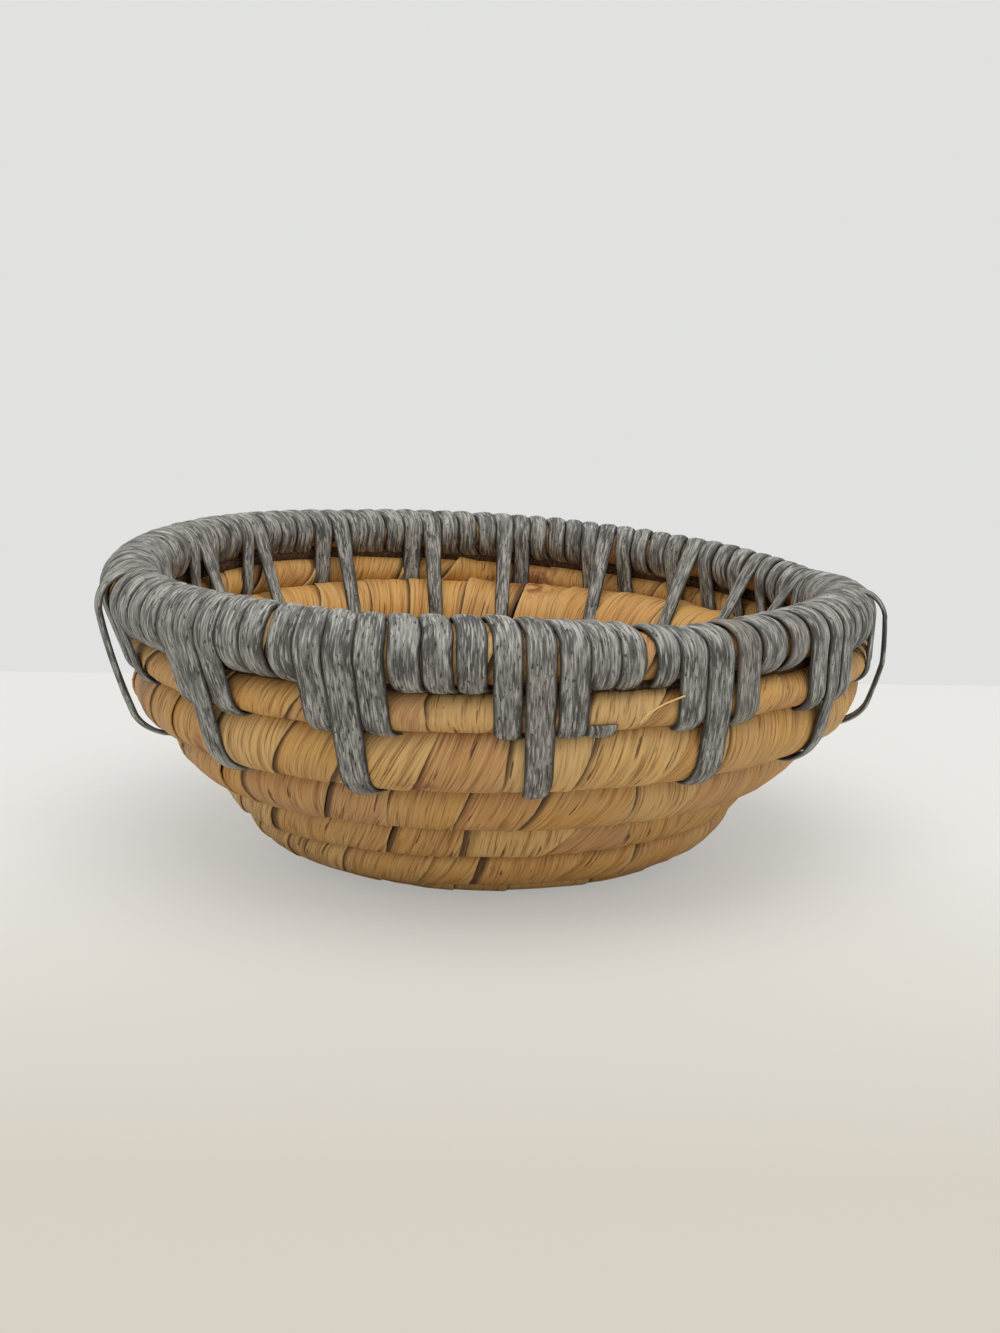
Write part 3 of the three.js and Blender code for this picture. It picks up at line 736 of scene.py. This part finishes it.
hoop_points = []
hoop_sections = []
hoop_steps = round(2 * math.pi * HOOP_REACH / PATH_STEP)
for step in range(round(hoop_steps * (1 + HOOP_OVERLAP_ANGLE / 360))):
    angle = 360 * step / hoop_steps
    rho, z, slope, radius = hoop_section(angle)
    hoop_points.append(around(angle, rho, z))
    hoop_sections.append((radius - HOOP_LEAF_ROOM, slope - math.pi / 2, 0.0))
hoop = path_mesh("rim_hoop", hoop_points, section=hoop_sections)
shaped_by(hoop, leaf_tree, {
    **leaf_sizes, "First winding": HOOP_FIRST_WINDING,
    "Windings": round(hoop_steps * PATH_STEP / LEAF_WIDTH), "Segments": HOOP_SEGMENTS,
    "Width spread": HOOP_SPREAD, "Gape": 0.0, "Curl": 0.0, "Seed": HOOP_SEED})
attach(hoop, "root")
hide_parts("rim_core")


# Rim shade cord
# A dark fibre cord put in the groove between the hoop and the top round, under the lashings, where
# there is only shade. It closes the gap to the light and stands in for that shade as a dark line
# below the rim.

SHADE_CORD_RADIUS = 0.0028
SHADE_CORD_DEPTH = 0.0012
SHADE_CORD_SIDES = 10

shade_cord_points = []
shade_cord_sections = []
for step in range(hoop_steps + 1):
    angle = 360 * step / hoop_steps
    rho, z, slope, radius = hoop_section(angle)
    first = TOP_ROUND + turn_of(angle)
    below = coil_section(first if first <= end_turn else first - 1)
    share = (radius + 0.5 * SHADE_CORD_RADIUS) / (radius + below[4] + SHADE_CORD_RADIUS)
    rho += (below[1] - rho) * share
    z += (below[2] - z) * share
    shade_cord_points.append(around(angle, rho - SHADE_CORD_DEPTH, z))
    shade_cord_sections.append((SHADE_CORD_RADIUS, slope, 0.0))
shade_cord = path_mesh("rim_shade_cord", shade_cord_points, section=shade_cord_sections)
shaped_by(shade_cord, bundle_tree, {"Share": 1.0, "Sides": SHADE_CORD_SIDES, "Material": fibre})
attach(shade_cord, "root")


# Lashings and rim windings
# Flat strips of grey bark about 8 mm wide, crowned like half-dried stalk. A lashing is a medium, a
# long and a medium turn round the hoop and the coil; one to three turns on the hoop follow it.

LONG_ANGLES = (-83.3, -58, -34, -12.5, -0.5, 15, 30, 46, 65, 86, 100.5, 119.5, 138.5, 155.5, 178,
               201, 226, 251)
SHORT_TURNS = (3, 2, 3, 1, 2, 1, 1, 2, 3, 1, 2, 2, 2, 3, 3, 3, 3, 3)
LASHING_TURNS = ("medium", "long", "medium")
HELD = {"short": 0, "medium": 1, "long": 2}
# At the back, lashings 10 to 13 have one medium turn, and go round the hoop alone for the other.
STARTS_ON_RIM = (11, 12, 13)
ENDS_ON_RIM = (10,)
# A facing is the way that a point on a turn looks, as an angle upwards from straight out of the
# basket. Two turns join on top of the rim, and the wall's outer side looks a little down.
JOIN_FACING = 95
OUTER_FACING = -30
# Facing where a turn starts to move on by half a step, and over how many degrees it does so. The
# joint between two turns cuts the step over the rim in two, so the first and last are one.
STEPS_ON = ((150, 120), (-60, 90), (-210, 120))
# A strip slants towards its foot by so many degrees, and narrows there on the inside.
LEAN = 0.5
INNER_LEAN = 4.0
LEAN_FACING = 90
DEPTH_FROM = 0.006
DEPTH_SPAN = 0.045
DEPTH_RATE = 4
INNER_NARROWING = 0.14
INNER_FACING = 120
INNER_SPAN = 40
# The two loose strips, which bow away from the wall between these facings.
LOOSE_BOWS = {4: 0.0040, 16: 0.0038}
LOOSE_FROM = -80
LOOSE_TO = 70
LOOSE_TILT = -20
LOOSE_NARROWING = 0.5
STRIP_FILL = 0.985
NARROWEST = 0.0060
WIDEST = 0.0098
WIDTH_SPREAD = 0.0006
STRIP_WANDER = 0.4
# How fast each changes from turn to turn, and its own place in the noise.
WIDTH_NOISE = (1.7, (1.1, 9.3))
WANDER_NOISE = (1.3, (4.4, 0.7))
CHANCE_NOISE = (0.9, (3.1, 2.9))
CHANCE_SPREAD = 0.7
# Turn before which two neighbours part so that the hoop shows, and how wide the gap is.
PARTINGS = ((94, 0.0016), (5, 0.0024), (87, 0.0010), (93, 0.0006))
PARTING_REACH = 0.4
OUTER_REACH = 0.1215
STRIP_EDGE = 0.0002
STRIP_CROWN = 0.0012
CROWN_POWER = 3.2
STRIP_ROLL = 0.0004
ROLL_BALANCE = 0.6
STRIP_RIPPLE = 0.0006
STRIP_SEED = 3.0
STRIP_STEP = 0.0016
STRIP_FLOAT = 0.0006
EDGE_WAVE = 0.10
WAVES_PER_METRE = 120
WAVE_APART = 37
FOLD_SCALE = (70, 1.6, 53)
BELT_FACINGS = 72
TOP_SIDES = 7
UNDER_SIDES = 5

strip_tree = new_tree("bark strip along a path", {
    "Edge": "NodeSocketFloat", "Crown": "NodeSocketFloat", "Roll": "NodeSocketFloat",
    "Ripple": "NodeSocketFloat", "Seed": "NodeSocketFloat", "Material": "NodeSocketMaterial"})
tree = strip_tree
strip_in = add(tree, "NodeGroupInput").outputs
path = add(tree, "GeometryNodeMeshToCurve", {"Mesh": strip_in["Geometry"]})
spot = add(tree, "GeometryNodeInputPosition")
path = add(tree, STORE, {"Geometry": path, "Name": "spot", "Value": spot}, data_type="FLOAT_VECTOR")
band = add(tree, "GeometryNodeCurveToMesh",
           {"Curve": path, "Profile Curve": flat_ring(tree, TOP_SIDES, UNDER_SIDES), "Fill Caps": True})
across, on_top, width, length, chance = [add(tree, READ, {"Name": name}, data_type="FLOAT")
                                         for name in ("across", "on_top", "breadth", "length", "chance")]
spot, face, side = [add(tree, READ, {"Name": name}, data_type="FLOAT_VECTOR")
                    for name in ("spot", "face", "side")]
centred = add(tree, MATH, {0: across, 1: 2, 2: -1}, operation="MULTIPLY_ADD")

# Across the strip: its width, which waves a little.
wave_along = add(tree, MATH, {0: length, 1: WAVES_PER_METRE}, operation="MULTIPLY")
wave_seed = add(tree, MATH, {0: chance, 1: WAVE_APART, 2: strip_in["Seed"]}, operation="MULTIPLY_ADD")
wave = add(tree, "ShaderNodeCombineXYZ", {0: wave_along, 1: wave_seed})
wave = add(tree, NOISE, {"Vector": wave, "Scale": 1.0, "Detail": 1.0})
wave = add(tree, MATH, {0: wave, 1: 0.5}, operation="SUBTRACT")
wave = add(tree, MATH, {0: wave, 1: EDGE_WAVE, 2: 1}, operation="MULTIPLY_ADD")
slide = add(tree, MATH, {0: width, 1: wave}, operation="MULTIPLY")
half = add(tree, MATH, {0: centred, 1: 0.5}, operation="MULTIPLY")
slide = add(tree, MATH, {0: half, 1: slide}, operation="MULTIPLY")

# Off the rounds: a crowned top with shallow folds over a flat underside, all rolled to one side.
fold = add(tree, "ShaderNodeCombineXYZ", {0: length, 1: centred, 2: chance})
fold = add(tree, VECTOR, {0: fold, 1: FOLD_SCALE}, operation="MULTIPLY")
fold = add(tree, NOISE, {"Vector": fold, "Scale": 1.0, "Detail": 2.0})
fold = add(tree, MATH, {0: fold, 1: 0.5}, operation="SUBTRACT")
fold = add(tree, MATH, {0: fold, 1: strip_in["Ripple"]}, operation="MULTIPLY")
crown = add(tree, MATH, {0: centred}, operation="ABSOLUTE")
crown = add(tree, MATH, {0: crown, 1: CROWN_POWER}, operation="POWER")
crown = add(tree, MATH, {0: 1, 1: crown}, operation="SUBTRACT")
twist = add(tree, MATH, {0: chance, 1: 2, 2: -ROLL_BALANCE}, operation="MULTIPLY_ADD")
roll = add(tree, MATH, {0: centred, 1: strip_in["Roll"]}, operation="MULTIPLY")
roll = add(tree, MATH, {0: roll, 1: twist}, operation="MULTIPLY")
height = add(tree, MATH, {0: strip_in["Edge"], 1: fold}, operation="ADD")
height = add(tree, MATH, {0: crown, 1: strip_in["Crown"], 2: height}, operation="MULTIPLY_ADD")
height = add(tree, MATH, {0: height, 1: on_top, 2: roll}, operation="MULTIPLY_ADD")
move = add(tree, VECTOR, {0: side, "Scale": slide}, operation="SCALE")
rise = add(tree, VECTOR, {0: face, "Scale": height}, operation="SCALE")
place = add(tree, VECTOR, {0: spot, 1: move}, operation="ADD")
place = add(tree, VECTOR, {0: place, 1: rise}, operation="ADD")
band = add(tree, "GeometryNodeSetPosition", {"Geometry": band, "Position": place})
strip_place = add(tree, "ShaderNodeCombineXYZ", {0: length, 1: slide, 2: chance})
band = add(tree, STORE, {"Geometry": band, "Name": "strip", "Value": strip_place}, data_type="FLOAT_VECTOR")
band = add(tree, "GeometryNodeRealizeInstances", {0: band})
band = add(tree, "GeometryNodeSetMaterial", {"Geometry": band, "Material": strip_in["Material"]})
add(tree, "NodeGroupOutput", {0: band})

BARK_MID = "#868681"
BARK_PALE = "#bab9b2"
BARK_DARK = "#4b4a47"
BARK_FLECK_AND_SHADE = "#232220"
BARK_BROWN = "#77695a"
BARK_ROUGHNESS = 0.6
BARK_SHINE = 0.35
BARK_RELIEF = 0.0005
# As for the leaf: length and width in millimetres, detail, and a place in the noise.
BARK_THREADS = (4.5, 0.55, 3, 0)
BARK_BANDS = (9, 2.4, 2, 5)
BARK_FLECKS = (2.2, 0.6, 2, 9)
STRIPS_APART = 1.0

# Weathered bark is grey with a dull sheen. Silvery and dark threads run along it, with dark
# flecks. Its sides are painted nearly black as shade in the gaps between turns, so that each turn
# stands apart from the next. Real threads are finer, and are drawn as coarse as they need to be to
# show.
bark, tree, shader = new_material("weathered grey bark strip", BARK_ROUGHNESS, BARK_SHINE)
strip_place = add(tree, "ShaderNodeAttribute", attribute_name="strip").outputs["Vector"]
chance = add(tree, "ShaderNodeSeparateXYZ", {0: strip_place}).outputs[2]
edge = add(tree, "ShaderNodeAttribute", attribute_name="across").outputs["Fac"]
threads = grain(tree, strip_place, STRIPS_APART, *BARK_THREADS)
bands = grain(tree, strip_place, STRIPS_APART, *BARK_BANDS)
flecks = grain(tree, strip_place, STRIPS_APART, *BARK_FLECKS)
# Painted shade: the sides of each turn darken towards the gap beside it.
sides = add(tree, MATH, {0: edge, 1: 0.5}, operation="SUBTRACT")
sides = add(tree, MATH, {0: sides}, operation="ABSOLUTE")
colour = layered(tree, linear(BARK_MID), (
    (bands, 0.4, 0.62, 1, BARK_DARK),
    (threads, 0.5, 0.66, 0.75, BARK_PALE),
    (threads, 0.46, 0.34, 0.8, BARK_DARK),
    (flecks, 0.6, 0.68, 0.9, BARK_FLECK_AND_SHADE),
    (sides, 0.38, 0.47, 0.9, BARK_FLECK_AND_SHADE),
    (chance, 0.8, 1.0, 0.6, BARK_BROWN)))
tree.links.new(colour, shader.inputs["Base Color"])
relief = add(tree, MATH, {0: threads, 1: bands}, operation="ADD")
bump = add(tree, "ShaderNodeBump", {"Height": relief, "Distance": BARK_RELIEF, "Strength": 0.6})
tree.links.new(bump.outputs[0], shader.inputs["Normal"])

lashing_starts = [sum(SHORT_TURNS[:index]) + len(LASHING_TURNS) * index for index in range(len(SHORT_TURNS))]
turn_count = lashing_starts[-1] + SHORT_TURNS[-1] + len(LASHING_TURNS)


def lashing_at(index):
    """The number of the middle of a long turn, and its angle."""
    rounds, place = divmod(index, len(LONG_ANGLES))
    return (lashing_starts[place] + len(LASHING_TURNS) / 2 + rounds * turn_count,
            LONG_ANGLES[place] + rounds * 360)


def turn_angle(turn):
    """Turns spread evenly between two long turns, with a smooth change of spacing at each."""
    index = -2
    while lashing_at(index + 1)[0] <= turn:
        index += 1
    before, start, end, after = (lashing_at(index + step) for step in (-1, 0, 1, 2))
    span = end[0] - start[0]
    share = (turn - start[0]) / span
    first = (end[1] - before[1]) / (end[0] - before[0]) * span
    last = (after[1] - start[1]) / (after[0] - start[0]) * span
    rise = end[1] - start[1]
    bend = 3 * rise - 2 * first - last
    return start[1] + share * (first + share * (bend + share * (first + last - 2 * rise)))


def rounds_at(angle, held):
    """Radius, height and half-thickness of the hoop and of the rounds that a turn holds to it."""
    rho, z, slope, radius = hoop_section(angle)
    found = [(rho, z, radius + STRIP_FLOAT)]
    first = TOP_ROUND + turn_of(angle)
    if first > end_turn:
        first -= 1
    for below in range(held):
        section = coil_section(first - below)
        found.append((section[1], section[2], section[4] + STRIP_FLOAT))
    return found


def step_at(turn, facing):
    """A turn moves on by half where it crosses the rim and by half where it comes back under."""
    return turn + sum(smooth((start - facing) / span) for start, span in STEPS_ON) / 2


def is_loose(facing):
    return LOOSE_FROM < facing < LOOSE_TO


def belt(kind, turn, bow):
    """Points of one turn, taut round what it holds: radius, height, facing and step."""
    found = []
    for index in range(BELT_FACINGS + 1):
        facing = JOIN_FACING - 360 * index / BELT_FACINGS
        step = step_at(turn, facing)
        across, up = math.cos(math.radians(facing)), math.sin(math.radians(facing))
        rounds = rounds_at(turn_angle(step), HELD[kind])
        rho, z, radius = max(rounds, key=lambda one: one[0] * across + one[1] * up + one[2])
        found.append((rho + radius * across, z + radius * up, facing, step))
    points = found[:1]
    for here in found[1:]:
        last = points[-1]
        pieces = max(1, math.ceil(math.hypot(here[0] - last[0], here[1] - last[1]) / STRIP_STEP))
        for part in range(1, pieces + 1):
            points.append(tuple(a + (b - a) * part / pieces for a, b in zip(last, here)))
    outer = [index for index, point in enumerate(points) if is_loose(point[2])]
    for order, index in enumerate(outer):
        out = bow * math.sin(math.pi * order / (len(outer) - 1))
        rho, z, facing, step = points[index]
        tilt = math.radians(max(facing, LOOSE_TILT))
        points[index] = (rho + out * math.cos(tilt), z + out * math.sin(tilt), facing, step)
    return points


def parting_at(step):
    """How wide the gap beside a turn is: over zero after the gap, and under zero before it."""
    parting = 0.0
    for line, gap in PARTINGS:
        away = (step - line + turn_count / 2) % turn_count - turn_count / 2
        if abs(away) < 1:
            parting += math.copysign(gap * smooth((1 - abs(away)) / PARTING_REACH), away)
    return parting


def strip_piece(name, kinds, first_turn, bow, run, start=360, end=-360):
    """One length of strip, and how far along the whole strip it ends. At a parting each of the two
    turns gives up half the gap's width, so its middle moves aside by a quarter of it."""
    spots, facings, sides, widths, steps, lengths = [], [], [], [], [], []
    for order, kind in enumerate(kinds):
        turn = first_turn + order
        loose = bow if kind == "long" else 0.0
        points = belt(kind, turn, loose)
        top = max(point[1] for point in points)
        for rho, z, facing, step in points[1 if order else 0:]:
            if not end < facing < start:
                continue
            inwards = abs(facing - OUTER_FACING)
            depth = min(max((top - DEPTH_FROM - z) / DEPTH_SPAN, 0), 1)
            room = math.radians(turn_angle(step + 0.5) - turn_angle(step - 0.5)) * OUTER_REACH
            inner = smooth((inwards - INNER_FACING) / INNER_SPAN) * smooth(depth * DEPTH_RATE)
            width = min(max(room * STRIP_FILL, NARROWEST), WIDEST) * (1 - INNER_NARROWING * inner)
            rate, seed = WIDTH_NOISE
            width += WIDTH_SPREAD * noise_at(step * rate, seed)
            parting = parting_at(step)
            width -= abs(parting) / 2
            if loose and is_loose(facing):
                along = (facing - LOOSE_FROM) / (LOOSE_TO - LOOSE_FROM)
                width *= 1 - LOOSE_NARROWING * math.sin(math.pi * along)
            rate, seed = WANDER_NOISE
            wander = noise_at(step * rate, seed) * STRIP_WANDER + math.degrees(parting / 4 / OUTER_REACH)
            way_in = smooth((inwards - LEAN_FACING) / INNER_SPAN)
            lean = LEAN - INNER_LEAN * math.cos(math.radians(turn_angle(step))) * way_in
            angle = turn_angle(step) + wander + lean * depth
            spots.append(around(angle, rho, z))
            turned, tilt = math.radians(angle), math.radians(facing)
            facings.append(Vector((math.cos(tilt) * math.cos(turned), math.cos(tilt) * math.sin(turned),
                                   math.sin(tilt))))
            widths.append(width * min(rho / OUTER_REACH, 1))
            steps.append(step)
    for index, spot in enumerate(spots):
        before, after = spots[max(index - 1, 0)], spots[min(index + 1, len(spots) - 1)]
        way = (after - before).normalized()
        facings[index] = (facings[index] - way * facings[index].dot(way)).normalized()
        sides.append(way.cross(facings[index]))
        run += (spot - before).length
        lengths.append(run)
    rate, seed = CHANCE_NOISE
    chances = [0.5 + CHANCE_SPREAD * noise_at(step * rate, seed) for step in steps]
    piece = path_mesh(name, spots, face=facings, side=sides, breadth=widths, length=lengths, chance=chances)
    shaped_by(piece, strip_tree, {"Edge": STRIP_EDGE, "Crown": STRIP_CROWN, "Roll": STRIP_ROLL,
                                  "Ripple": STRIP_RIPPLE, "Seed": STRIP_SEED, "Material": bark})
    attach(piece, "root")
    return piece, run


strip_run = 0.0
for number, (turn, short_turns) in enumerate(zip(lashing_starts, SHORT_TURNS), 1):
    kinds = list(LASHING_TURNS)
    if number in STARTS_ON_RIM:
        kinds[0] = "short"
    if number in ENDS_ON_RIM:
        kinds[-1] = "short"
    bow = LOOSE_BOWS.get(number, 0.0)
    lashing, strip_run = strip_piece(f"lashing_strip_{number:02}", kinds, turn, bow, strip_run)
    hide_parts(f"lashing_{number:02}")
    winding, strip_run = strip_piece(f"rim_winding_strip_{number:02}", ["short"] * short_turns,
                                     turn + len(LASHING_TURNS), 0.0, strip_run)
    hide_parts(f"rim_winding_{number:02}")


# Strip tail
# The cut end of a grey strip that was pushed in under the top round at the front, beside the
# first lashing. Its last few millimetres show.

TAIL_TURN = 3.02
TAIL_START = -25
TAIL_END = -100

tail, strip_run = strip_piece("strip_tail_end", ["medium"], TAIL_TURN, 0.0, strip_run, TAIL_START, TAIL_END)
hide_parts("strip_tail")


# Stray fibre
# A pale thread of dry leaf that has split off the top round at the front right, and lies loosely
# across it.

# Angle, radius and height of the points that the thread lies on.
STRAY_POINTS = ((-70.3, 0.1226, 0.0662), (-69.4, 0.1230, 0.0686), (-67.8, 0.1236, 0.0708),
                (-66.2, 0.1241, 0.0722), (-64.6, 0.1246, 0.0733))
STRAY_RADIUS = 0.00022
STRAY_SIDES = 6
STRAY_COLOUR = "#dcb878"
STRAY_ROUGHNESS = 0.7

# A dry leaf thread is paler than the leaf and nearly matt, so it shows as a light line.
thread, tree, shader = new_material("dry leaf thread", STRAY_ROUGHNESS)
shader.inputs["Base Color"].default_value = linear(STRAY_COLOUR)
stray = path_mesh("stray_fibre", [around(*point) for point in STRAY_POINTS],
                  section=[(STRAY_RADIUS, 0.0, 0.0)] * len(STRAY_POINTS))
shaped_by(stray, bundle_tree, {"Share": 1.0, "Sides": STRAY_SIDES, "Material": thread})
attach(stray, "root")
